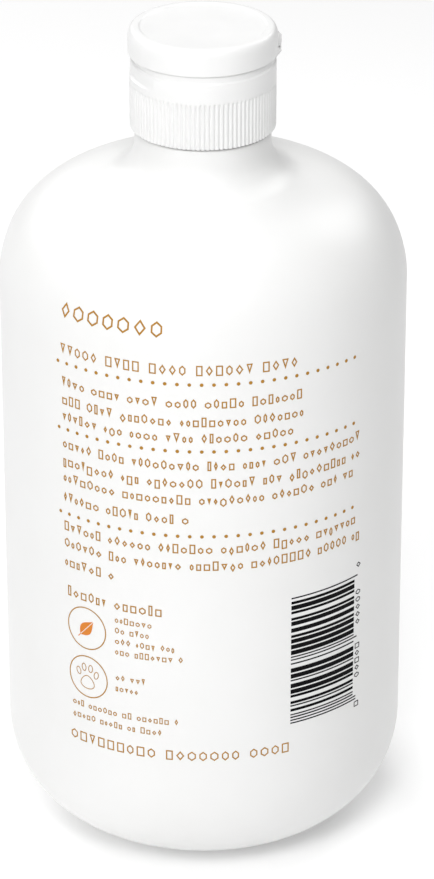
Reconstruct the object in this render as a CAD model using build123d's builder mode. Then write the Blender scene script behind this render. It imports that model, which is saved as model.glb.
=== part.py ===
from build123d import *
import math
import os

# A 16 fl oz shampoo bottle: a blow-moulded body with a threaded neck, and a ribbed screw cap with
# a flip-top lid on a living hinge. Millimetres. The origin is the centre of the base, +Z is up,
# and the printed side of the body faces -Y.
os.makedirs("parts", exist_ok=True)

# ---------------------------------------------------------------- body
body_radius = 37.5
wall = 1.1
base_corner_radius = 20.0
push_up_radius = 15.0  # the dome under the base, inside the ring that the bottle stands on
push_up_height = 3.2

shoulder_start = 109.4  # where the straight wall ends
shoulder_end_height = 130.0  # where the shoulder turns up into the neck
shoulder_end_radius = 18.4
shoulder_end_slope = 8.0  # degrees above horizontal there
shoulder_side_pull = 13.1  # how far the shoulder's curve runs on in line with the wall
shoulder_top_pull = 10.6  # and in line with its upper end

# ---------------------------------------------------------------- neck finish, 24-400
collar_radius = 12.4
collar_top = 139.1
neck_radius = 10.8
neck_top = 150.3
bore_radius = 9.0
bore_taper = 2.6  # height over which the wall thickens from the shoulder to the neck

thread_pitch = 25.4 / 8
thread_turns = 1.25
thread_crest_radius = 11.85
thread_root_width = 1.6
thread_crest_width = 0.9
thread_from_top = 2.0  # from the rim to the middle of the thread's upper end
thread_sink = 0.15  # how far a thread's root is sunk into its wall
thread_play = 0.15  # between the flanks of the cap's thread and the neck's

# ---------------------------------------------------------------- cap
cap_radius = 13.24
cap_bottom = 139.5
cap_bore_radius = 12.15
cap_thread_crest_radius = 11.15
cap_edge_chamfer = 0.35
rib_count = 96
rib_groove_depth = 0.3
rib_top = 148.2
band_top = 151.9  # the smooth band above the ribs ends here, in a step
rim_radius = 12.95
rim_top = 153.4
step_height = 0.3
seal_thickness = 1.0
seal_radius = 11.9
deck_thickness = 1.2
locating_ring_radius = 12.1
locating_ring_thickness = 0.8
locating_ring_top = 154.6
orifice_radius = 6.35 / 2
spout_radius = 4.1
spout_top = 155.8

# The thumb notch under the lid's edge: what lies outside a wide arc is taken off the band.
notch_azimuth = -70.0  # degrees from -Y towards +X
notch_bottom = 149.4
notch_depth = 0.45
notch_arc_radius = 18.0

# ---------------------------------------------------------------- lid and living hinge
lid_radius = 13.48
lid_gap = 0.1
lid_top = 158.4
lid_side_top = 156.5
lid_top_radius = 12.4
lid_wall = 1.13
lid_dish_radius = 11.3
lid_dish_depth = 0.22
lid_underside = 157.0
plug_radius = 2.85
plug_wall = 0.75
plug_bottom = 154.0

hinge_azimuth = notch_azimuth + 180.0
hinge_height = 153.5
hinge_gap = 1.2  # the height of film between the two pads
hinge_film_thickness = 0.35
hinge_pad_face = 14.0
hinge_pad_width = 6.0
hinge_film_width = 5.6
hinge_pad_root = 12.9  # a pad's inner face, sunk into the cap's or the lid's wall
base_pad_face_height = 0.25  # the base's pad is this high at its face, and ramps in below it
lid_pad_top = 157.0


def polar(radius, azimuth, height=0.0):
    """A point at an azimuth measured from -Y towards +X."""
    turn = math.radians(azimuth)
    return Vector(radius * math.sin(turn), -radius * math.cos(turn), height)


def radial_plane(azimuth):
    """A plane through the bottle's axis: its x is the radius at the azimuth, and its y is height."""
    outward = polar(1.0, azimuth)
    return Plane(origin=(0, 0, 0), x_dir=outward, z_dir=outward.cross(Vector(0, 0, 1)))


def body_half_outline(inset):
    """Draws the body's half outline, from the base's centre to the neck's collar, moved in by inset."""
    slope = math.radians(shoulder_end_slope)
    radius = body_radius - inset
    ring_radius = body_radius - base_corner_radius

    dome_radius = (push_up_radius**2 + push_up_height**2) / (2 * push_up_height)
    dome_angle = math.degrees(math.asin(push_up_radius / dome_radius))
    dome_centre = (0, push_up_height + inset - dome_radius)
    dome = CenterArc(dome_centre, dome_radius, 90, -dome_angle)
    Line(dome @ 1, (ring_radius, inset))

    corner_centre = (ring_radius, base_corner_radius)
    corner = CenterArc(corner_centre, base_corner_radius - inset, -90, 90)
    side = Line(corner @ 1, (radius, shoulder_start))

    end = Vector(shoulder_end_radius, shoulder_end_height)
    end -= Vector(math.sin(slope), math.cos(slope)) * inset
    shrink = (radius - end.X) / (body_radius - shoulder_end_radius)
    side_control = Vector(radius, shoulder_start + shoulder_side_pull * shrink)
    end_control = end + Vector(math.cos(slope), -math.sin(slope)) * shoulder_top_pull * shrink
    shoulder = Bezier(side @ 1, side_control, end_control, end)

    blend_radius = (shoulder_end_radius - collar_radius) / (1 - math.sin(slope)) + inset
    blend_angle = shoulder_end_slope - 90
    return JernArc(shoulder @ 1, (-math.cos(slope), math.sin(slope)), blend_radius, blend_angle)


def thread_ridge(root_radius, crest_radius, start_height):
    """A right-hand thread ridge that points from its root radius to its crest radius."""
    helix = Helix(
        pitch=thread_pitch,
        height=thread_pitch * thread_turns,
        radius=root_radius,
        center=(0, 0, start_height),
    )
    reach = crest_radius - root_radius
    half_root = thread_root_width / 2
    half_crest = thread_crest_width / 2
    with BuildPart() as ridge:
        with BuildSketch(Plane(origin=helix @ 0, x_dir=(1, 0, 0), z_dir=helix % 0)):
            with BuildLine():
                Polyline((0, -half_root), (reach, -half_crest), (reach, half_crest), (0, half_root), close=True)
            make_face()
        sweep(path=helix, is_frenet=True)
    return ridge.part


thread_start = neck_top - thread_from_top - thread_pitch * thread_turns

# ---------------------------------------------------------------- the body
neck_thread = thread_ridge(neck_radius - thread_sink, thread_crest_radius, thread_start)

with BuildPart() as bottle_body:
    with BuildSketch(Plane.XZ):
        with BuildLine():
            blend = body_half_outline(inset=0)
            Polyline(
                blend @ 1,
                (collar_radius, collar_top),
                (neck_radius, collar_top),
                (neck_radius, neck_top),
                (0, neck_top),
                (0, push_up_height),
            )
        make_face()
    revolve(axis=Axis.Z)
    neck_edges = bottle_body.edges().filter_by(GeomType.CIRCLE).filter_by_position(
        Axis.Z, collar_top, collar_top
    )
    chamfer(neck_edges.sort_by(SortBy.RADIUS)[-1], length=0.4)
    add(neck_thread)
    with BuildSketch(Plane.XZ):
        with BuildLine():
            blend = body_half_outline(inset=wall)
            Polyline(
                blend @ 1,
                (bore_radius, (blend @ 1).Y + bore_taper),
                (bore_radius, neck_top),
                (0, neck_top),
                (0, push_up_height + wall),
            )
        make_face()
    revolve(axis=Axis.Z, mode=Mode.SUBTRACT)

bottle_body.part.label = "bottle_body"
export_step(bottle_body.part, "parts/bottle_body.step")

# ---------------------------------------------------------------- the seal on the neck's rim
with BuildPart() as seal_ring:
    with BuildSketch(Plane.XY.offset(neck_top)):
        Circle(seal_radius)
        Circle(bore_radius, mode=Mode.SUBTRACT)
    extrude(amount=seal_thickness)

seal_ring.part.label = "seal_ring"
export_step(seal_ring.part, "parts/seal_ring.step")

# ---------------------------------------------------------------- the cap's base
# The cap's thread runs just under the neck's thread. Both are this wide where they pass each other.
passing_radius = (thread_crest_radius + cap_thread_crest_radius) / 2
root_to_crest = thread_crest_radius - neck_radius + thread_sink
passing_share = (thread_crest_radius - passing_radius) / root_to_crest
passing_width = thread_crest_width + (thread_root_width - thread_crest_width) * passing_share
cap_thread_start = thread_start - passing_width - thread_play
cap_thread = thread_ridge(cap_bore_radius + thread_sink, cap_thread_crest_radius, cap_thread_start)

deck_underside = neck_top + seal_thickness
deck_top = deck_underside + deck_thickness

with BuildPart() as cap_base:
    with BuildSketch(Plane.XZ):
        with BuildLine():
            Polyline(
                (cap_bore_radius, cap_bottom),
                (cap_radius - cap_edge_chamfer, cap_bottom),
                (cap_radius, cap_bottom + cap_edge_chamfer),
                (cap_radius, band_top),
                (rim_radius, band_top + step_height),
                (rim_radius, rim_top),
                (locating_ring_radius, rim_top),
                (locating_ring_radius, locating_ring_top),
                (locating_ring_radius - locating_ring_thickness, locating_ring_top),
                (locating_ring_radius - locating_ring_thickness, deck_top),
                (spout_radius, deck_top),
                (spout_radius, spout_top),
                (orifice_radius, spout_top),
                (orifice_radius, deck_underside),
                (cap_bore_radius, deck_underside),
                close=True,
            )
        make_face()
    revolve(axis=Axis.Z)
    add(cap_thread)

    # Fine ribs for grip: the V-grooves between them are cut up from the bottom edge.
    groove_side = rib_groove_depth * math.sqrt(2)
    with BuildSketch(Plane.XY.offset(cap_bottom)):
        with PolarLocations(cap_radius, rib_count):
            Rectangle(groove_side, groove_side, rotation=45)
    extrude(amount=rib_top - cap_bottom, mode=Mode.SUBTRACT)

    # The thumb notch.
    notch_shift = notch_arc_radius - (cap_radius - notch_depth)
    with BuildSketch(Plane.XY.offset(notch_bottom)):
        Circle(cap_radius + 1)
        with Locations(polar(notch_shift, notch_azimuth + 180)):
            Circle(notch_arc_radius, mode=Mode.SUBTRACT)
    extrude(amount=band_top + step_height - notch_bottom, mode=Mode.SUBTRACT)

    # The pad that carries the hinge film.
    base_pad_top = hinge_height - hinge_gap / 2
    pad_ramp = hinge_pad_face - hinge_pad_root  # the pads' ramps are at 45 degrees
    with BuildSketch(radial_plane(hinge_azimuth)):
        with BuildLine():
            Polyline(
                (hinge_pad_root, base_pad_top),
                (hinge_pad_face, base_pad_top),
                (hinge_pad_face, base_pad_top - base_pad_face_height),
                (hinge_pad_root, base_pad_top - base_pad_face_height - pad_ramp),
                close=True,
            )
        make_face()
    extrude(amount=hinge_pad_width / 2, both=True)

cap_base.part.label = "cap_base"
export_step(cap_base.part, "parts/cap_base.step")

# ---------------------------------------------------------------- the flip-top lid
lid_bottom = rim_top + lid_gap
lid_bore_radius = lid_radius - lid_wall

with BuildPart() as flip_lid:
    with BuildSketch(Plane.XZ):
        with BuildLine():
            edge = TangentArc((lid_radius, lid_side_top), (lid_top_radius, lid_top), tangent=(0, 1))
            Polyline(
                edge @ 1,
                (lid_dish_radius + lid_dish_depth, lid_top),
                (lid_dish_radius, lid_top - lid_dish_depth),
                (0, lid_top - lid_dish_depth),
                (0, lid_underside),
                (plug_radius - plug_wall, lid_underside),
                (plug_radius - plug_wall, plug_bottom),
                (plug_radius, plug_bottom),
                (plug_radius, lid_underside),
                (lid_bore_radius, lid_underside),
                (lid_bore_radius, lid_bottom),
                (lid_radius, lid_bottom),
                edge @ 0,
            )
        make_face()
    revolve(axis=Axis.Z)

    # The pad that the hinge film joins, ramped into the lid's rounded edge.
    lid_pad_bottom = hinge_height + hinge_gap / 2
    with BuildSketch(radial_plane(hinge_azimuth)):
        with BuildLine():
            Polyline(
                (hinge_pad_root, lid_pad_bottom),
                (hinge_pad_face, lid_pad_bottom),
                (hinge_pad_face, lid_pad_top - pad_ramp),
                (hinge_pad_root, lid_pad_top),
                close=True,
            )
        make_face()
    extrude(amount=hinge_pad_width / 2, both=True)

flip_lid.part.label = "flip_lid"
export_step(flip_lid.part, "parts/flip_lid.step")

# ---------------------------------------------------------------- the living hinge's film
film_inner_face = hinge_pad_face - hinge_film_thickness
film_bottom = hinge_height - hinge_gap / 2

with BuildPart() as hinge_film:
    with BuildSketch(radial_plane(hinge_azimuth)):
        with BuildLine():
            Polyline(
                (film_inner_face, film_bottom),
                (hinge_pad_face, film_bottom),
                (hinge_pad_face, film_bottom + hinge_gap),
                (film_inner_face, film_bottom + hinge_gap),
                close=True,
            )
        make_face()
    extrude(amount=hinge_film_width / 2, both=True)

hinge_film.part.label = "hinge_film"
export_step(hinge_film.part, "parts/hinge_film.step")
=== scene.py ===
import math
import random

import bpy
import numpy as np
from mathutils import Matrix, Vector


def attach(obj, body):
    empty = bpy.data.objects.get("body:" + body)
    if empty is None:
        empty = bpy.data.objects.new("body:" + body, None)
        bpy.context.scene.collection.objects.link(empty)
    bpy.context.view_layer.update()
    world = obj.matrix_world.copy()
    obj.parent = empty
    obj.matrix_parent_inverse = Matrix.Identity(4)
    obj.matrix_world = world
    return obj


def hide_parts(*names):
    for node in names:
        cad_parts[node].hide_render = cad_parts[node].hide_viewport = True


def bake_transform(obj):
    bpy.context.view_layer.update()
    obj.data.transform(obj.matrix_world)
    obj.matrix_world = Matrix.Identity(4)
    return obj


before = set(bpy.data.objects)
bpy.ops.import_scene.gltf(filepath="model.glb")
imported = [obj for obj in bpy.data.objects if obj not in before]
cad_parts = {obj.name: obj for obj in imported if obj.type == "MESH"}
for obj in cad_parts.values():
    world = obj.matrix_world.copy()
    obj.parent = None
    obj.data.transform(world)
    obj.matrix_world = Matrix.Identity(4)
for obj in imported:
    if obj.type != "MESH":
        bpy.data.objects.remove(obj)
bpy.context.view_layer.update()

MM = 0.001

# ---------------------------------------------------------------- sizes, in millimetres
# The body's outline, as in the CAD model.
BODY_RADIUS = 37.5
WALL = 1.1
BASE_CORNER = 20.0
PUSH_UP_RADIUS = 15.0
PUSH_UP_HEIGHT = 3.2
PUSH_UP_DOME = (PUSH_UP_RADIUS**2 + PUSH_UP_HEIGHT**2) / (2 * PUSH_UP_HEIGHT)  # its radius
SHOULDER_START = 109.4
SHOULDER_END_HEIGHT = 130.0
SHOULDER_END_RADIUS = 18.4
SHOULDER_END_SLOPE = math.radians(8)
SHOULDER_SIDE_PULL = 13.1
SHOULDER_TOP_PULL = 10.6
COLLAR_RADIUS = 12.4
COLLAR_TOP = 139.1
NECK_RADIUS = 10.8
NECK_TOP = 150.3
BORE_RADIUS = 9.0
BORE_TAPER = 2.6
THREAD_PITCH = 25.4 / 8
THREAD_TURNS = 1.25
THREAD_ROOT_WIDTH = 1.6
THREAD_CREST_WIDTH = 0.9
THREAD_CREST = 11.85
THREAD_FROM_RIM = 2.0  # from the rim to the middle of the thread's upper end
THREAD_START = NECK_TOP - THREAD_FROM_RIM - THREAD_PITCH * THREAD_TURNS
THREAD_SINK = 0.1  # how far a thread's root is sunk into its wall

# The cap and the lid.
CAP_RADIUS = 13.24
CAP_BOTTOM = 139.5
CAP_BORE = 12.15
CAP_THREAD_CREST = 11.15
CAP_THREAD_DROP = 1.28  # how far the cap's thread lies below the neck's, so that they mesh
RIB_COUNT = 96
RIB_DEPTH = 0.3
RIB_FADE = 0.3  # the height over which the grooves run out
GROOVE_HALF_SHARE = 0.34  # half a groove's width, as a share of the ribs' spacing
RIB_TOP = 148.2
BAND_TOP = 151.9
RIM_RADIUS = 12.95
RIM_TOP = 153.4
DECK_TOP = 152.5
DECK_UNDERSIDE = 151.3
LOCATING_RADIUS = 12.1
LOCATING_THICKNESS = 0.8
LOCATING_TOP = 154.6
ORIFICE_RADIUS = 6.35 / 2
SPOUT_RADIUS = 4.1
SPOUT_TOP = 155.8
NOTCH_AZIMUTH = math.radians(-70)
NOTCH_BOTTOM = 149.4
NOTCH_DEPTH = 0.45
NOTCH_RAMP = 0.55  # the height over which the notch deepens
NOTCH_ARC_RADIUS = 18.0
LID_RADIUS = 13.48
LID_BOTTOM = 153.5
LID_TOP = 158.4
LID_SIDE_TOP = 156.5
LID_TOP_RADIUS = 12.4
LID_WALL = 1.13
LID_DISH_RADIUS = 11.3
LID_DISH_DEPTH = 0.22
LID_UNDERSIDE = 157.0
PLUG_RADIUS = 2.85
PLUG_WALL = 0.75
PLUG_BOTTOM = 154.0
HINGE_AZIMUTH = math.radians(110)
HINGE_HEIGHT = 153.5
HINGE_GAP = 1.2
FILM_THICKNESS = 0.35
PAD_FACE = 14.0
PAD_ROOT = 12.9
PAD_WIDTH = 6.0
FILM_WIDTH = 5.6
LID_PAD_TOP = 157.0
HINGE_GROOVE = 0.42  # how far the groove between the pads reaches in

rng = random.Random(24)


# ---------------------------------------------------------------- meshes
def make_object(name, vertices, faces, material, body=None, slot_name=None, sharp=32):
    """A piece from points in millimetres, that rides on a body if one is named. Edges steeper than
    sharp, in degrees, are kept sharp."""
    mesh = bpy.data.meshes.new(name)
    mesh.from_pydata([tuple(c * MM for c in v) for v in vertices], [], faces)
    mesh.validate()
    mesh.polygons.foreach_set("use_smooth", [True] * len(mesh.polygons))
    mesh.set_sharp_from_angle(angle=math.radians(sharp))
    mesh.materials.append(material)
    piece = bpy.data.objects.new(name, mesh)
    bpy.context.scene.collection.objects.link(piece)
    if body:
        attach(piece, body)
    return piece


def rounded(points, radius, steps=4):
    """An outline with its corners rounded. radius is one number, or one for each point."""
    radii = radius if isinstance(radius, (list, tuple)) else [radius] * len(points)
    out = []
    for i, p in enumerate(points):
        p = np.array(p, float)
        if radii[i] <= 0 or i in (0, len(points) - 1):
            out.append(tuple(p))
            continue
        before = np.array(points[i - 1], float) - p
        after = np.array(points[i + 1], float) - p
        reach = min(radii[i], 0.45 * np.linalg.norm(before), 0.45 * np.linalg.norm(after))
        start = p + before / np.linalg.norm(before) * reach
        end = p + after / np.linalg.norm(after) * reach
        for k in range(steps + 1):
            t = k / steps
            out.append(tuple((1 - t) ** 2 * start + 2 * t * (1 - t) * p + t * t * end))
    return out


def lathe(outline, azimuths, shape=None):
    """Points and faces of an outline turned about Z. shape(r, z, azimuth) can change a radius.
    An end of the outline on the axis closes in one point there; otherwise the outline is a loop."""
    open_ended = outline[0][0] < 1e-6
    rows = outline[1:-1] if open_ended else outline
    count = len(azimuths)
    vertices = []
    for r, z in rows:
        for a in azimuths:
            radius = shape(r, z, a) if shape else r
            vertices.append((radius * math.sin(a), -radius * math.cos(a), z))
    faces = []
    pairs = [(i, i + 1) for i in range(len(rows) - 1)]
    if not open_ended:
        pairs.append((len(rows) - 1, 0))
    for lower, upper in pairs:
        a, b = lower * count, upper * count
        for k in range(count):
            n = (k + 1) % count
            faces.append((a + k, a + n, b + n, b + k))
    if open_ended:
        first = len(vertices)
        vertices.append((0, 0, outline[0][1]))
        vertices.append((0, 0, outline[-1][1]))
        top = (len(rows) - 1) * count
        for k in range(count):
            n = (k + 1) % count
            faces.append((first, n, k))
            faces.append((first + 1, top + k, top + n))
    return vertices, faces


def even_azimuths(count):
    return [2 * math.pi * k / count for k in range(count)]


def arc(centre, radius, start, end, steps):
    """Points of an arc, between two angles in degrees."""
    out = []
    for k in range(steps + 1):
        t = math.radians(start + (end - start) * k / steps)
        out.append((centre[0] + radius * math.cos(t), centre[1] + radius * math.sin(t)))
    return out


def bezier(points, steps):
    """Points of a cubic Bezier curve."""
    a, b, c, d = (np.array(p, float) for p in points)
    out = []
    for k in range(steps + 1):
        t = k / steps
        u = 1 - t
        out.append(tuple(u**3 * a + 3 * u**2 * t * b + 3 * u * t * t * c + t**3 * d))
    return out


def body_outline(inset):
    """The body's half outline from the base's centre to the collar, moved in by inset."""
    radius = BODY_RADIUS - inset
    ring = BODY_RADIUS - BASE_CORNER
    dome = PUSH_UP_DOME
    dome_edge = 90 - math.degrees(math.asin(PUSH_UP_RADIUS / dome))
    out = arc((0, PUSH_UP_HEIGHT + inset - dome), dome, 90, dome_edge, 10)[:-1]
    out += rounded([out[-1], (PUSH_UP_RADIUS, inset), (ring, inset)], 0.5)[1:-1]
    out += arc((ring, BASE_CORNER), BASE_CORNER - inset, -90, 0, 26)
    rows = 34
    for k in range(1, rows):
        out.append((radius, BASE_CORNER + (SHOULDER_START - BASE_CORNER) * k / rows))
    s, c = math.sin(SHOULDER_END_SLOPE), math.cos(SHOULDER_END_SLOPE)
    end = np.array((SHOULDER_END_RADIUS - s * inset, SHOULDER_END_HEIGHT - c * inset))
    shrink = (radius - end[0]) / (BODY_RADIUS - SHOULDER_END_RADIUS)
    side_control = (radius, SHOULDER_START + SHOULDER_SIDE_PULL * shrink)
    end_control = end + np.array((c, -s)) * SHOULDER_TOP_PULL * shrink
    out += bezier([(radius, SHOULDER_START), side_control, end_control, end], 34)
    blend = (SHOULDER_END_RADIUS - COLLAR_RADIUS) / (1 - s) + inset
    centre = end + np.array((s, c)) * blend
    out += arc(centre, blend, 270 - math.degrees(SHOULDER_END_SLOPE), 180, 14)[1:]
    return out


def thread(root, crest, start_height):
    """A right-hand thread ridge with faded ends, as in the CAD model. Its crest lies outside its
    root on the neck, and inside it in the cap."""
    steps = 150
    ends = 16  # each end fades over one part in 16 of the length
    blunt = 0.04  # the share of the full height that is left at the very end
    half_root, half_crest = THREAD_ROOT_WIDTH / 2, THREAD_CREST_WIDTH / 2
    vertices, faces = [], []
    for k in range(steps + 1):
        t = k / steps
        turn = 2 * math.pi * THREAD_TURNS * t
        fade = min(1.0, min(t, 1 - t) * ends)
        tip_radius = root + (crest - root) * (blunt + (1 - blunt) * math.sin(fade * math.pi / 2))
        mid = start_height + THREAD_PITCH * THREAD_TURNS * t
        section = (
            (root, -half_root),
            (tip_radius, -half_crest),
            (tip_radius, half_crest),
            (root, half_root),
        )
        for r, dz in section:
            vertices.append((r * math.cos(turn), r * math.sin(turn), mid + dz))
        if k:
            a, b = 4 * (k - 1), 4 * k
            for j in range(4):
                n = (j + 1) % 4
                faces.append((a + j, a + n, b + n, b + j))
    last = 4 * steps
    faces.append((3, 2, 1, 0))
    faces.append((last, last + 1, last + 2, last + 3))
    if crest > root:
        faces = [face[::-1] for face in faces]
    return vertices, faces


def tube_faces(ring, steps):
    """Faces of a closed tube of rings with so many points each, with a face on each end."""
    faces = []
    for k in range(steps):
        a, b = k * ring, (k + 1) * ring
        for j in range(ring):
            n = (j + 1) % ring
            faces.append((a + j, a + n, b + n, b + j))
    faces.append(tuple(range(ring))[::-1])
    faces.append(tuple(steps * ring + j for j in range(ring)))
    return faces


def joined(*meshes):
    """Several (points, faces) as one."""
    vertices, faces = [], []
    for v, f in meshes:
        offset = len(vertices)
        vertices += v
        faces += [tuple(i + offset for i in face) for face in f]
    return vertices, faces


# ---------------------------------------------------------------- materials
def new_material(name, colour, roughness):
    """A Principled material whose fixed values are set on the shader itself."""
    material = bpy.data.materials.new(name)
    material.use_nodes = True
    shader = material.node_tree.nodes["Principled BSDF"]
    shader.inputs["Base Color"].default_value = (*colour, 1)
    shader.inputs["Roughness"].default_value = roughness
    shader.inputs["IOR"].default_value = 1.5
    return material


def noise(tree, scale, detail=4.0, stretch=None):
    """A noise texture on object coordinates, in metres."""
    coordinates = tree.nodes.new("ShaderNodeTexCoord")
    texture = tree.nodes.new("ShaderNodeTexNoise")
    texture.inputs["Scale"].default_value = scale
    texture.inputs["Detail"].default_value = detail
    texture.inputs["Roughness"].default_value = 0.55
    source = coordinates.outputs["Object"]
    if stretch:
        mapping = tree.nodes.new("ShaderNodeMapping")
        mapping.inputs["Scale"].default_value = stretch
        tree.links.new(source, mapping.inputs["Vector"])
        source = mapping.outputs["Vector"]
    tree.links.new(source, texture.inputs["Vector"])
    return texture.outputs["Fac"]


def ramp(tree, factor, low, high, start=0.3, end=0.7):
    """Colour between two values over a stretch of the factor."""
    node = tree.nodes.new("ShaderNodeValToRGB")
    node.color_ramp.elements[0].position = start
    node.color_ramp.elements[1].position = end
    node.color_ramp.elements[0].color = (*low, 1)
    node.color_ramp.elements[1].color = (*high, 1)
    tree.links.new(factor, node.inputs["Fac"])
    return node.outputs["Color"]


def grey(value):
    return (value, value, value)


def add_bump(tree, shader, layers):
    """Chains bump nodes. Each layer is (height, strength, distance in metres)."""
    normal = None
    for height, strength, distance in layers:
        bump = tree.nodes.new("ShaderNodeBump")
        bump.inputs["Strength"].default_value = strength
        bump.inputs["Distance"].default_value = distance
        tree.links.new(height, bump.inputs["Height"])
        if normal:
            tree.links.new(normal, bump.inputs["Normal"])
        normal = bump.outputs["Normal"]
    tree.links.new(normal, shader.inputs["Normal"])


def blown_plastic():
    """White blow-moulded HDPE: satin and faintly waxy, with a fine skin and slight flow marks."""
    material = new_material("blown_hdpe", (0.8, 0.8, 0.795), 0.36)
    tree = material.node_tree
    shader = tree.nodes["Principled BSDF"]
    cloud = noise(tree, 38, detail=3)
    tint = ramp(tree, cloud, (0.79, 0.79, 0.782), (0.812, 0.812, 0.808))
    tree.links.new(tint, shader.inputs["Base Color"])
    rub = noise(tree, 50, detail=2, stretch=(1, 1, 0.25))
    tree.links.new(ramp(tree, rub, grey(0.34), grey(0.39), 0.2, 0.8), shader.inputs["Roughness"])
    skin = noise(tree, 900, detail=1)
    flow = noise(tree, 60, detail=2, stretch=(1, 1, 0.3))
    add_bump(tree, shader, [(flow, 0.2, 0.0006), (skin, 0.05, 0.0001)])
    return material


def moulded_plastic(name, colour, roughness):
    """White injection-moulded PP: smoother and a little glossier than the body."""
    material = new_material(name, colour, roughness)
    tree = material.node_tree
    shader = tree.nodes["Principled BSDF"]
    cloud = noise(tree, 160, detail=3)
    darker = tuple(c * 0.975 for c in colour)
    tree.links.new(ramp(tree, cloud, darker, colour), shader.inputs["Base Color"])
    rub = noise(tree, 160, detail=2)
    sheen = ramp(tree, rub, grey(roughness - 0.02), grey(roughness + 0.03), 0.2, 0.8)
    tree.links.new(sheen, shader.inputs["Roughness"])
    peel = noise(tree, 700, detail=1)
    add_bump(tree, shader, [(peel, 0.06, 0.0001)])
    return material


def ink(name, colour, spread, roughness, shine=0.12):
    """Screen-printed ink: slightly uneven in cover and sheen, as a thin film is. spread is how much
    lighter the colour is where the cover is thin, as a share."""
    material = new_material(name, colour, roughness)
    tree = material.node_tree
    shader = tree.nodes["Principled BSDF"]
    shader.inputs["Specular IOR Level"].default_value = shine
    cover = noise(tree, 900, detail=4)
    lighter = tuple(c * (1 + spread) + 0.001 for c in colour)
    tree.links.new(ramp(tree, cover, colour, lighter), shader.inputs["Base Color"])
    sheen = noise(tree, 2400, detail=3)
    dullness = ramp(tree, sheen, grey(roughness - 0.08), grey(roughness + 0.08))
    tree.links.new(dullness, shader.inputs["Roughness"])
    add_bump(tree, shader, [(sheen, 0.15, 0.00002)])
    return material


def foam():
    """Closed-cell foam of the sealing ring."""
    material = new_material("closed_cell_foam", (0.8, 0.8, 0.78), 0.7)
    tree = material.node_tree
    shader = tree.nodes["Principled BSDF"]
    cells = tree.nodes.new("ShaderNodeTexVoronoi")
    cells.inputs["Scale"].default_value = 3500
    coordinates = tree.nodes.new("ShaderNodeTexCoord")
    tree.links.new(coordinates.outputs["Object"], cells.inputs["Vector"])
    tint = ramp(tree, cells.outputs["Distance"], (0.72, 0.72, 0.7), (0.82, 0.82, 0.8))
    tree.links.new(tint, shader.inputs["Base Color"])
    add_bump(tree, shader, [(cells.outputs["Distance"], 0.4, 0.0001)])
    return material


body_plastic = blown_plastic()
cap_plastic = moulded_plastic("moulded_pp", (0.8, 0.8, 0.797), 0.3)
copper = ink("copper_print", (0.36, 0.18, 0.026), 0.16, 0.55)
leaf_orange = ink("orange_print", (0.62, 0.2, 0.03), 0.1, 0.55)
black = ink("black_print", (0.003, 0.003, 0.0035), 0.5, 0.65, shine=0.05)
seal_foam = foam()


# ---------------------------------------------------------------- the body
RIPPLE = 0.03  # how far the wall lies in on average
SEAM_HALF_WIDTH = math.radians(0.35)
SEAM_HEIGHT = 0.05
SEAMS = (math.pi / 2, 3 * math.pi / 2)


def ripple(z, azimuth):
    """How far the blown wall lies inside its nominal surface, in millimetres: 0 to twice RIPPLE."""
    slow = math.sin(2 * azimuth + z / 23) + 0.6 * math.sin(3 * azimuth - z / 15 + 1.3)
    quick = 0.35 * math.sin(5 * azimuth + z / 9 + 0.4)
    highest = 1 + 0.6 + 0.35
    return RIPPLE * (1 + (slow + quick) / highest)


def on_seam(azimuth):
    """1 on the mould's parting line at each side, falling to 0 beside it."""
    off = min(abs((azimuth - seam + math.pi) % (2 * math.pi) - math.pi) for seam in SEAMS)
    return max(0.0, 1 - off / SEAM_HALF_WIDTH)


def outside_radius(r, z, azimuth):
    """The blown body's outer radius, with its slight waviness and parting lines. Both fade out
    towards the ring that the bottle stands on, and there are none on the neck."""
    ring_radius = BODY_RADIUS - BASE_CORNER
    fade_width = 4
    if r < ring_radius or z > SHOULDER_END_HEIGHT + 4:
        return r
    fade = min(1.0, (r - ring_radius) / fade_width)
    return r - fade * (ripple(z, azimuth) + SEAM_HEIGHT * (1 - on_seam(azimuth)))


def body_azimuths():
    """Even azimuths, with a few more beside each parting line."""
    columns = set(even_azimuths(288))
    for seam in SEAMS:
        for k in (-2, -1, -0.5, 0.5, 1, 2):
            columns.add(seam + k * SEAM_HALF_WIDTH)
    return sorted(columns)


def build_body():
    outside = body_outline(0)
    inside = body_outline(WALL)[::-1]
    neck = [
        outside[-1],
        (COLLAR_RADIUS, COLLAR_TOP),
        (NECK_RADIUS, COLLAR_TOP),
        (NECK_RADIUS, NECK_TOP),
        (BORE_RADIUS, NECK_TOP),
        (BORE_RADIUS, inside[0][1] + BORE_TAPER),
        inside[0],
    ]
    outline = outside[:-1] + rounded(neck, [0, 0.4, 0.25, 0.3, 0.35, 1.0, 0]) + inside[1:]
    azimuths = body_azimuths()
    vertices, faces = lathe(outline, azimuths)
    # The outside's rows come first. Its first point is on the axis, and isn't in a row.
    for index in range((len(outside) - 1) * len(azimuths)):
        x, y, z = vertices[index]
        r = math.hypot(x, y)
        new = outside_radius(r, z, math.atan2(x, -y))
        vertices[index] = (x * new / r, y * new / r, z)
    ridge = thread(NECK_RADIUS - THREAD_SINK, THREAD_CREST, THREAD_START)
    shell = joined((vertices, faces), ridge)
    piece = make_object("body_shell", *shell, body_plastic, "bottle", "bottle_plastic")
    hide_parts("bottle_body")


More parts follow.
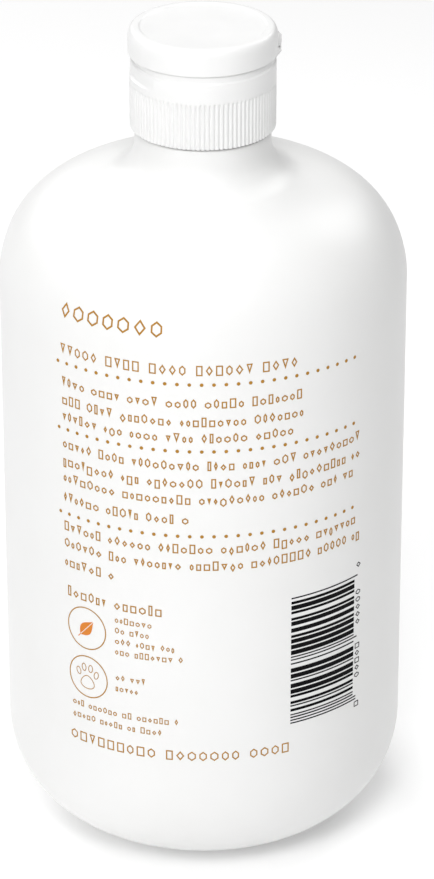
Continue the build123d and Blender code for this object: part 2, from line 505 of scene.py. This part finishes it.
def build_pinch_off():
    """The low weld line that the mould's halves leave across the push-up."""
    dome = PUSH_UP_DOME
    length, width, height = 22.0, 0.9, 0.35
    steps, across, fade_steps = 40, 6, 6
    foot, back = 0.12, 0.3  # how far its edges and its back are sunk into the wall
    vertices = []
    for k in range(steps + 1):
        x = length * (k / steps - 0.5)
        surface = PUSH_UP_HEIGHT - dome + math.sqrt(dome**2 - x * x)
        fade = math.sin(math.pi * min(1.0, min(k, steps - k) / fade_steps) / 2)
        for j in range(across + 1):
            t = math.pi * j / across
            y = -width / 2 * math.cos(t) * (0.3 + 0.7 * fade)
            vertices.append((x, y, surface + foot - height * fade * math.sin(t)))
        vertices.append((x, 0, surface + back))
    faces = tube_faces(across + 2, steps)
    make_object("pinch_off", vertices, faces, body_plastic, "bottle", "bottle_plastic", sharp=50)


# ---------------------------------------------------------------- the cap
def notch_radius(azimuth):
    """Where the thumb notch's wide arc lies, from the bottle's axis."""
    shift = NOTCH_ARC_RADIUS - (CAP_RADIUS - NOTCH_DEPTH)
    turn = azimuth - NOTCH_AZIMUTH
    across = shift * math.sin(turn)
    return -shift * math.cos(turn) + math.sqrt(NOTCH_ARC_RADIUS**2 - across**2)


def cap_side(r, z, azimuth):
    """The cap's outer radius: ribs below, and the thumb notch in the band above them."""
    if r < RIM_RADIUS - 0.4 or z > BAND_TOP + 0.5:
        return r
    if CAP_BOTTOM <= z <= RIB_TOP:
        phase = (azimuth * RIB_COUNT / (2 * math.pi)) % 1.0
        groove = max(0.0, 1 - abs(phase - 0.5) / GROOVE_HALF_SHARE)
        fade = min(1.0, max(0.0, (RIB_TOP - z) / RIB_FADE))
        return r - RIB_DEPTH * (groove * groove * (3 - 2 * groove)) * fade
    if NOTCH_BOTTOM < z:
        depth = max(0.0, CAP_RADIUS - notch_radius(azimuth))
        rise = min(1.0, (z - NOTCH_BOTTOM) / NOTCH_RAMP)
        return r - depth * math.sin(rise * math.pi / 2)
    return r


def build_cap():
    columns = even_azimuths(RIB_COUNT * 8)
    skirt = [(CAP_RADIUS, CAP_BOTTOM + 0.5 + k * 0.95) for k in range(8)]
    fade = [(CAP_RADIUS, RIB_TOP - RIB_FADE + k * RIB_FADE / 2) for k in range(3)]
    band = [(CAP_RADIUS, RIB_TOP + 0.6)]
    notch = [(CAP_RADIUS, NOTCH_BOTTOM + k * 0.1) for k in range(7)]
    notch += [(CAP_RADIUS, NOTCH_BOTTOM + 0.9), (CAP_RADIUS, NOTCH_BOTTOM + 1.6)]
    inner_ring = LOCATING_RADIUS - LOCATING_THICKNESS
    edge = rounded([(CAP_BORE, CAP_BOTTOM), (CAP_RADIUS, CAP_BOTTOM), skirt[0]], 0.3)
    top = rounded(
        [
            notch[-1],
            (CAP_RADIUS, BAND_TOP),
            (RIM_RADIUS, BAND_TOP + 0.3),
            (RIM_RADIUS, RIM_TOP),
            (LOCATING_RADIUS, RIM_TOP),
            (LOCATING_RADIUS, LOCATING_TOP),
            (inner_ring, LOCATING_TOP),
            (inner_ring, DECK_TOP),
            (SPOUT_RADIUS, DECK_TOP),
            (SPOUT_RADIUS, SPOUT_TOP),
            (ORIFICE_RADIUS, SPOUT_TOP),
            (ORIFICE_RADIUS, DECK_UNDERSIDE),
            (CAP_BORE, DECK_UNDERSIDE),
            (CAP_BORE, CAP_BOTTOM),
        ],
        [0, 0.2, 0.15, 0.2, 0.1, 0.2, 0.2, 0.4, 0.7, 0.25, 0.3, 0.15, 0.3, 0],
    )
    outline = edge[:-1] + skirt + fade + band + notch[:-1] + top[:-1]
    vertices, faces = lathe(outline, columns, cap_side)
    ridge = thread(CAP_BORE + THREAD_SINK, CAP_THREAD_CREST, THREAD_START - CAP_THREAD_DROP)
    shell = joined((vertices, faces), ridge)
    piece = make_object("screw_cap", *shell, cap_plastic, "cap", "cap_plastic")
    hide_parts("cap_base")


def pad(name, outline, body):
    """A hinge pad: a side outline of (radius, height) points, made solid across the pad's width."""
    half = PAD_WIDTH / 2
    bevel = 0.12
    end_share = 0.9  # the size of the outline at the pad's two ends
    layers = ((-half, end_share), (bevel - half, 1.0), (half - bevel, 1.0), (half, end_share))
    vertices = []
    ring = len(outline)
    centre = np.mean(outline, axis=0)
    u = (math.sin(HINGE_AZIMUTH), -math.cos(HINGE_AZIMUTH))
    v = (u[1], -u[0])
    for across, shrink in layers:
        for r, z in outline:
            r2 = centre[0] + (r - centre[0]) * shrink
            z2 = centre[1] + (z - centre[1]) * shrink
            vertices.append((u[0] * r2 + v[0] * across, u[1] * r2 + v[1] * across, z2))
    last = len(layers) - 1
    faces = tube_faces(ring, last)
    make_object(name, vertices, faces, cap_plastic, body, "cap_plastic")


def build_hinge():
    low, high = HINGE_HEIGHT - HINGE_GAP / 2, HINGE_HEIGHT + HINGE_GAP / 2
    ramp_height = PAD_FACE - PAD_ROOT
    slit = 0.06  # half the space between the two pads
    lip = PAD_FACE - 0.35
    groove = PAD_FACE - HINGE_GROOVE
    base_outline = [
        (PAD_ROOT, HINGE_HEIGHT - slit),
        (PAD_ROOT, low - 0.25 - ramp_height),
        (PAD_FACE - 0.1, low - 0.35),
        (PAD_FACE, low - 0.2),
        (PAD_FACE, low - 0.04),
        (PAD_FACE - 0.05, low),
        (lip, low),
        (groove, HINGE_HEIGHT - slit),
    ]
    lid_outline = [
        (PAD_ROOT, HINGE_HEIGHT + slit),
        (groove, HINGE_HEIGHT + slit),
        (lip, high),
        (PAD_FACE - 0.05, high),
        (PAD_FACE, high + 0.05),
        (PAD_FACE, LID_PAD_TOP - ramp_height - 0.1),
        (PAD_FACE - 0.12, LID_PAD_TOP - ramp_height + 0.1),
        (PAD_ROOT, LID_PAD_TOP),
    ]
    pad("hinge_pad_cap", base_outline, "cap")
    pad("hinge_pad_lid", lid_outline, "lid")


def build_film():
    """The living hinge: a film that is thinnest in the middle, between cap and lid."""
    u = np.array((math.sin(HINGE_AZIMUTH), -math.cos(HINGE_AZIMUTH), 0))
    v = np.array((-u[1], u[0], 0))
    low = HINGE_HEIGHT - HINGE_GAP / 2
    steps = 24
    half = FILM_WIDTH / 2
    sink = 0.03  # how far each end runs into its pad
    outer = PAD_FACE - 0.02
    vertices = []
    for k in range(steps + 1):
        t = k / steps
        z = low - sink + (HINGE_GAP + 2 * sink) * t
        waist = 0.4 * math.exp(-(((t - 0.5) / 0.22) ** 2))
        inner = PAD_FACE - FILM_THICKNESS * (1 - waist)
        for r, across in ((inner, -half), (outer, -half), (outer, half), (inner, half)):
            p = u * r + v * across + np.array((0, 0, z))
            vertices.append(tuple(p))
    piece = make_object("living_hinge", vertices, tube_faces(4, steps), cap_plastic)
    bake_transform(piece)
    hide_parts("hinge_film")


def build_lid():
    columns = even_azimuths(288)
    shoulder = bezier(
        [
            (LID_RADIUS, LID_SIDE_TOP),
            (LID_RADIUS, LID_TOP - 0.75),
            (LID_TOP_RADIUS + 0.62, LID_TOP),
            (LID_TOP_RADIUS, LID_TOP),
        ],
        9,
    )
    dish_floor = LID_TOP - LID_DISH_DEPTH
    inner = LID_RADIUS - LID_WALL
    top = rounded(
        [
            shoulder[-1],
            (LID_DISH_RADIUS + LID_DISH_DEPTH, LID_TOP),
            (LID_DISH_RADIUS, dish_floor),
            (4.0, dish_floor),
        ],
        [0, 0.15, 0.15, 0],
    )
    under = rounded(
        [
            (1.0, LID_UNDERSIDE),
            (PLUG_RADIUS - PLUG_WALL, LID_UNDERSIDE),
            (PLUG_RADIUS - PLUG_WALL, PLUG_BOTTOM),
            (PLUG_RADIUS, PLUG_BOTTOM),
            (PLUG_RADIUS, LID_UNDERSIDE),
            (inner, LID_UNDERSIDE),
            (inner, LID_BOTTOM),
            (LID_RADIUS, LID_BOTTOM),
            shoulder[0],
        ],
        [0, 0.3, 0.25, 0.3, 0.4, 0.5, 0.15, 0.18, 0],
    )
    outline = [(0, dish_floor)] + top[1:][::-1] + shoulder[::-1] + under[::-1][1:]
    outline.append((0, LID_UNDERSIDE))
    vertices, faces = lathe(outline, columns)
    faces = [face[::-1] for face in faces]  # this outline runs from the top down
    piece = make_object("flip_top", vertices, faces, cap_plastic, "lid", "cap_plastic")
    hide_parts("flip_lid")


build_body()
build_pinch_off()
build_cap()
build_hinge()
build_film()
build_lid()
seal_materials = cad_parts["seal_ring"].data.materials
seal_materials.clear()
seal_materials.append(seal_foam)


# ---------------------------------------------------------------- the print
PRINT_LOW, PRINT_HIGH = -0.012, 0.028  # the ink's underside and its surface, off the wall
STROKE = 0.24
HEADING_STROKE = 0.32
SMALL_STROKE = 0.18
LONGEST_EDGE = 0.7
LONGEST_STEP = 1.5

SIDE = [p for p in body_outline(0) if p[0] > SHOULDER_END_RADIUS and p[1] >= BASE_CORNER]
SIDE_RADII, SIDE_HEIGHTS = zip(*SIDE)


def on_body(s, z, lift):
    """The point at arc length s round the body from its front, at height z and that lift off it."""
    azimuth = s / BODY_RADIUS
    radius = outside_radius(float(np.interp(z, SIDE_HEIGHTS, SIDE_RADII)), z, azimuth) + lift
    return (radius * math.sin(azimuth), -radius * math.cos(azimuth), z)


class Print:
    """Flat shapes on the body's surface, gathered into one closed mesh for each ink."""

    def __init__(self):
        self.vertices = []
        self.faces = []

    def layer(self, points, lift):
        first = len(self.vertices)
        self.vertices += [on_body(s, z, lift) for s, z in points]
        return list(range(first, first + len(points)))

    def solid(self, points):
        """A filled convex shape. Its points run anticlockwise, seen from outside."""
        low = self.layer(points, PRINT_LOW)
        high = self.layer(points, PRINT_HIGH)
        self.faces += [tuple(high), tuple(reversed(low))]
        self.walls(low, high)

    def walls(self, low, high):
        count = len(low)
        for k in range(count):
            n = (k + 1) % count
            self.faces.append((low[k], low[n], high[n], high[k]))

    def band(self, outer, inner):
        """The shape between two outlines with as many points each, both anticlockwise."""
        outer_low, outer_high = self.layer(outer, PRINT_LOW), self.layer(outer, PRINT_HIGH)
        inner_low, inner_high = self.layer(inner, PRINT_LOW), self.layer(inner, PRINT_HIGH)
        count = len(outer)
        for k in range(count):
            n = (k + 1) % count
            self.faces.append((outer_high[k], outer_high[n], inner_high[n], inner_high[k]))
            self.faces.append((inner_low[k], inner_low[n], outer_low[n], outer_low[k]))
        self.walls(outer_low, outer_high)
        self.walls(inner_high, inner_low)

    def outline(self, points, stroke):
        """A closed line of that width along a convex outline, kept inside it."""
        points = finer(points, LONGEST_EDGE) if points[0][1] > SHOULDER_START else points
        self.band(points, inset_outline(points, stroke))

    def strip(self, right, left):
        """The shape between two lines with as many points each. Going from their first points to
        their last, seen from outside, right and left are on those sides."""
        rows = []
        for pair in zip(right, left):
            rows.append((self.layer(pair, PRINT_LOW), self.layer(pair, PRINT_HIGH)))
        for (low, high), (next_low, next_high) in zip(rows, rows[1:]):
            self.faces.append((high[0], next_high[0], next_high[1], high[1]))
            self.faces.append((low[1], next_low[1], next_low[0], low[0]))
            self.faces.append((low[0], next_low[0], next_high[0], high[0]))
            self.faces.append((high[1], next_high[1], next_low[1], low[1]))
        low, high = rows[0]
        self.faces.append((low[0], high[0], high[1], low[1]))
        low, high = rows[-1]
        self.faces.append((low[1], high[1], high[0], low[0]))

    def line(self, start, end, stroke):
        """A straight stroke, cut into short lengths so that it follows the body."""
        a, b = np.array(start, float), np.array(end, float)
        along = (b - a) / np.linalg.norm(b - a)
        side = np.array((-along[1], along[0])) * stroke / 2
        count = max(1, round(np.linalg.norm(b - a) / LONGEST_STEP))
        middle = [a + (b - a) * k / count for k in range(count + 1)]
        self.strip([p - side for p in middle], [p + side for p in middle])

    def piece(self, name, material, slot_name):
        make_object(name, self.vertices, self.faces, material, "bottle", slot_name)


def finer(points, longest):
    """A closed outline with its edges cut so that none is longer than that."""
    out = []
    for a, b in zip(points, points[1:] + points[:1]):
        pieces = math.ceil(math.dist(a, b) / longest)
        for k in range(pieces):
            out.append((a[0] + (b[0] - a[0]) * k / pieces, a[1] + (b[1] - a[1]) * k / pieces))
    return out


def inset_outline(points, width):
    """A convex outline moved in by width, with mitred corners."""
    count = len(points)
    out = []
    for k in range(count):
        before, here, after = (np.array(points[(k + j) % count], float) for j in (-1, 0, 1))
        u = (here - before) / np.linalg.norm(here - before)
        v = (after - here) / np.linalg.norm(after - here)
        nu, nv = np.array((-u[1], u[0])), np.array((-v[1], v[0]))
        mitre = (nu + nv) / (1 + float(nu @ nv))
        out.append(tuple(here + mitre * width))
    return out


def ellipse(centre, half_width, half_height, count, turn=0.0):
    """An ellipse's points, anticlockwise. turn tilts it, in degrees."""
    c, s = math.cos(math.radians(turn)), math.sin(math.radians(turn))
    out = []
    for k in range(count):
        t = 2 * math.pi * k / count
        x, y = half_width * math.cos(t), half_height * math.sin(t)
        out.append((centre[0] + x * c - y * s, centre[1] + x * s + y * c))
    return out


# Plain shapes that stand in for characters. Rows of them spell nothing.
def mark_box(sheet, s, z, width, height, stroke):
    sheet.outline([(s, z), (s + width, z), (s + width, z + height), (s, z + height)], stroke)


def mark_diamond(sheet, s, z, width, height, stroke):
    x, y = s + width / 2, z + height / 2
    sheet.outline([(x, z), (s + width, y), (x, z + height), (s, y)], stroke)


def mark_hexagon(sheet, s, z, width, height, stroke):
    cut = height * 0.28
    sheet.outline(
        [
            (s + width / 2, z),
            (s + width, z + cut),
            (s + width, z + height - cut),
            (s + width / 2, z + height),
            (s, z + height - cut),
            (s, z + cut),
        ],
        stroke,
    )


def mark_wedge(sheet, s, z, width, height, stroke):
    sheet.outline([(s + width / 2, z), (s + width, z + height), (s, z + height)], stroke)


MARKS = [mark_hexagon, mark_box, mark_diamond, mark_wedge]
CHANCES = [11, 9, 5, 4]
TEXT_SHARES = (0.48, 0.62, 0.68, 0.74, 0.8)
WIDE_SHARES = (0.66, 0.72, 0.78)
GAP = 0.32  # between two marks, as a share of a row's advance
SPACE = 0.75  # between two groups, on top of the gap
NARROWEST = 0.6  # a row ends where less than this is left
TALL_CHANCE = 0.3
HANGING_CHANCE = 0.1


def mark_row(sheet, start, end, base, low, tall, advance, stroke, words=(3, 9), shares=TEXT_SHARES):
    """A row of marks in groups, from start to end along the body, on a base line. low is the height
    of most marks and tall that of some. Where both are the same, no mark hangs below the line.
    words is how few and how many marks a group has, and shares are the marks' widths as shares of
    advance."""
    s = start
    left = rng.randint(*words)
    while s + advance * NARROWEST <= end:
        if left == 0:
            s += advance * SPACE
            left = rng.randint(*words)
            continue
        mark = rng.choices(MARKS, CHANCES)[0]
        share = rng.choice(shares)
        width = advance * share
        height = tall if rng.random() < TALL_CHANCE else low
        hangs = height == low and rng.random() < HANGING_CHANCE
        drop = (tall - low) * 0.8 if hangs else 0.0
        if s + width <= end:
            mark(sheet, s, base - drop, width, height + drop, stroke)
        s += advance * (share + GAP)
        left -= 1


def dot_row(sheet, height):
    """A row of dots, which parts two blocks of rows."""
    count, first, apart = 28, -43.9, 3.34  # the azimuths are in degrees
    radius = 0.34
    for k in range(count):
        s = BODY_RADIUS * math.radians(first + apart * k)
        sheet.solid(ellipse((s, height), radius, radius, 14))


def ring(sheet, centre, diameter, stroke):
    radius, count = diameter / 2, 56
    outer = ellipse(centre, radius, radius, count)
    inner = ellipse(centre, radius - stroke, radius - stroke, count)
    sheet.band(outer, inner)


def leaf(sheet, centre, length, width, turn):
    """A filled pointed leaf in two halves, with its midrib left open."""
    c, s = math.cos(math.radians(turn)), math.sin(math.radians(turn))

    def place(x, y):
        return (centre[0] + x * c - y * s, centre[1] + x * s + y * c)

    rib = 0.07  # half the midrib's width
    blunt = 0.06  # each half's width at the leaf's ends
    stalk_stroke = 0.16
    steps = 16
    upper_rib, upper_edge, lower_rib, lower_edge = [], [], [], []
    for k in range(steps + 1):
        t = k / steps
        x = length * (t - 0.5)
        y = rib + blunt + (width / 2 - rib - blunt) * math.sin(math.pi * t**0.8) ** 1.25
        upper_rib.append(place(x, rib))
        upper_edge.append(place(x, y))
        lower_rib.append(place(x, -rib))
        lower_edge.append(place(x, -y))
    sheet.strip(upper_rib, upper_edge)
    sheet.strip(lower_edge, lower_rib)
    sheet.line(place(-length * 0.7, 0), place(-length / 2 - 0.02, 0), stalk_stroke)


def paw(sheet, centre, size, stroke):
    """An outline paw: one pad, wider at its foot, and four toes."""
    x, y = centre
    count = 28
    pad_points = []
    for k in range(count):
        t = 2 * math.pi * k / count
        across = size * 0.25 * math.cos(t) * (1 - 0.28 * math.sin(t))
        pad_points.append((x + across, y - size * 0.17 + size * 0.23 * math.sin(t)))
    sheet.outline(pad_points, stroke)
    # Each toe's place, as shares of the paw's size, and its tilt in degrees.
    toes = ((-0.32, 0.14, 16), (-0.12, 0.31, 5), (0.12, 0.31, -5), (0.32, 0.14, -16))
    for dx, dy, tilt in toes:
        toe = ellipse((x + dx * size, y + dy * size), size * 0.085, size * 0.135, 16, tilt)
        sheet.outline(toe, stroke)


def striped_block(sheet, left, right, low, high):
    """A block of bars of uneven width across the body, beside a column of small marks. The bars at
    its ends and its middle are thin and longer. The other widths are drawn at random, so they hold
    no code."""
    middle = (low + high) / 2
    z = low
    while z < high - 0.25:
        if z < low + 0.9 or z > high - 1.1 or abs(z - middle) < 0.5:
            thick, gap, longer = 0.26, 0.34, 0.85
        else:
            thick = rng.choice((0.26, 0.26, 0.28, 0.52, 0.55, 0.85, 0.9))
            gap = rng.choice((0.27, 0.3, 0.32, 0.5, 0.55, 0.8))
            longer = 0.0
        sheet.line((left, z + thick / 2), (right + longer, z + thick / 2), thick)
        z += thick + gap
    mark_apart, mark_width, mark_height, mark_stroke = 1.55, 1.25, 1.1, 0.17
    heights = [low - 1.6, high + 1.2]
    for group in (low + 4.6, middle + 2.6):
        heights += [group + mark_apart * k for k in range(5)]
    for z in heights:
        mark = rng.choice((mark_box, mark_hexagon, mark_diamond))
        mark(sheet, right + 0.45, z, mark_width, mark_height, mark_stroke)


def build_print():
    """All the print. Places are the arc length round the body from its front, and the height."""
    text, icon, black_sheet = Print(), Print(), Print()
    mark_row(
        text, -28.1, -7.0, 113.6, 2.9, 2.9, 2.9, HEADING_STROKE, words=(9, 9), shares=WIDE_SHARES
    )
    mark_row(text, -28.0, 17.3, 106.7, 2.0, 2.0, 1.74, STROKE, shares=WIDE_SHARES)
    for height in (104.95, 91.8, 74.8):
        dot_row(text, height)
    # Each row's base line and its right end.
    body_rows = (
        (100.3, 19.4),
        (96.7, 19.5),
        (93.5, 17.5),
        (88.0, 33.0),
        (84.5, 33.0),
        (81.2, 31.4),
        (77.2, -1.4),
        (71.3, 31.6),
        (67.9, 32.5),
        (64.0, -15.6),
    )
    for base, end in body_rows:
        mark_row(text, -27.8, end, base, 1.33, 1.9, 1.45, STROKE)
    mark_row(text, -27.2, -5.3, 58.0, 1.5, 2.1, 1.6, STROKE)
    # Each row's base line and its two ends.
    small_rows = (
        (55.3, -16.8, -8.1),
        (53.1, -16.8, -9.8),
        (50.9, -16.8, -4.8),
        (48.7, -16.8, -3.5),
        (43.3, -16.8, -10.1),
        (41.0, -16.8, -11.8),
        (35.6, -26.4, -4.4),
        (33.1, -26.4, -7.4),
    )
    for base, start, end in small_rows:
        mark_row(text, start, end, base, 0.95, 1.3, 1.02, SMALL_STROKE, words=(2, 7))
    mark_row(text, -26.9, 16.5, 28.2, 2.0, 2.0, 1.95, STROKE, words=(4, 9), shares=WIDE_SHARES)

    ring_diameter, ring_stroke = 8.7, 0.22
    ring(text, (-23.0, 52.4), ring_diameter, ring_stroke)
    leaf(icon, (-22.9, 52.5), 4.2, 2.5, 48)
    ring(text, (-22.8, 42.3), ring_diameter, ring_stroke)
    paw(text, (-22.9, 42.2), 6.2, 0.15)
    striped_block(black_sheet, 16.5, 31.2, 34.0, 60.6)

    text.piece("copper_print", copper, "copper_ink")
    icon.piece("orange_leaf", leaf_orange, "copper_ink")
    black_sheet.piece("black_print", black, "black_ink")


build_print()


# ---------------------------------------------------------------- floor, light and camera
def area_light(name, place, aim, size, power):
    """A square light that the camera doesn't see."""
    data = bpy.data.lights.new(name, "AREA")
    data.size = size
    data.energy = power
    light = bpy.data.objects.new(name, data)
    light.location = place
    light.rotation_mode = "QUATERNION"
    light.rotation_quaternion = (Vector(aim) - Vector(place)).to_track_quat("-Z", "Y")
    light.visible_camera = False
    bpy.context.scene.collection.objects.link(light)


def build_floor():
    """White paper that glows a little, so that the bottle's foot isn't in the dark."""
    mesh = bpy.data.meshes.new("floor")
    half = 4.0
    corners = [(-half, -half, 0), (half, -half, 0), (half, half, 0), (-half, half, 0)]
    mesh.from_pydata(corners, [], [(0, 1, 2, 3)])
    floor = bpy.data.objects.new("floor", mesh)
    bpy.context.scene.collection.objects.link(floor)
    material = new_material("paper_floor", (0.9, 0.9, 0.9), 0.85)
    tree = material.node_tree
    shader = tree.nodes["Principled BSDF"]
    shader.inputs["Emission Color"].default_value = (1, 1, 1, 1)
    shader.inputs["Emission Strength"].default_value = 0.16
    tint = ramp(tree, noise(tree, 3), grey(0.895), grey(0.905))
    tree.links.new(tint, shader.inputs["Base Color"])
    mesh.materials.append(material)


def build_light():
    world = bpy.data.worlds.new("studio")
    world.use_nodes = True
    background = world.node_tree.nodes["Background"]
    background.inputs["Color"].default_value = (1, 1, 1, 1)
    background.inputs["Strength"].default_value = 0.238
    bpy.context.scene.world = world
    middle = (0, 0, 0.08)
    shoulder = (0.02, 0, 0.12)
    cap_foot = (0, 0, 0.14)
    area_light("front_left", (-0.52, -0.9, 0.68), middle, 0.6, 4.64)
    area_light("back_left", (-0.59, 0.7, 0.85), middle, 0.8, 6.44)
    area_light("near_right", (0.3, 0.28, 0.42), shoulder, 0.25, 0.545)
    area_light("near_front", (0, -0.42, 0.5), cap_foot, 0.2, 1.27)
    area_light("near_top", (0, -0.1, 0.55), (0, 0, 0.12), 0.3, 0.69)


def build_camera():
    data = bpy.data.cameras.new("camera")
    data.sensor_width = 36
    data.lens = 170.04
    camera = bpy.data.objects.new("camera", data)
    place = Vector((0, -0.69796, 0.41924))
    aim = Vector((0.00253, 0, 0.07587))
    camera.location = place
    camera.rotation_mode = "QUATERNION"
    camera.rotation_quaternion = (aim - place).to_track_quat("-Z", "Y")
    data.clip_start = 0.01
    data.clip_end = 20
    bpy.context.scene.collection.objects.link(camera)
    bpy.context.scene.camera = camera


build_floor()
build_light()
build_camera()
bpy.context.scene.view_settings.view_transform = "Standard"
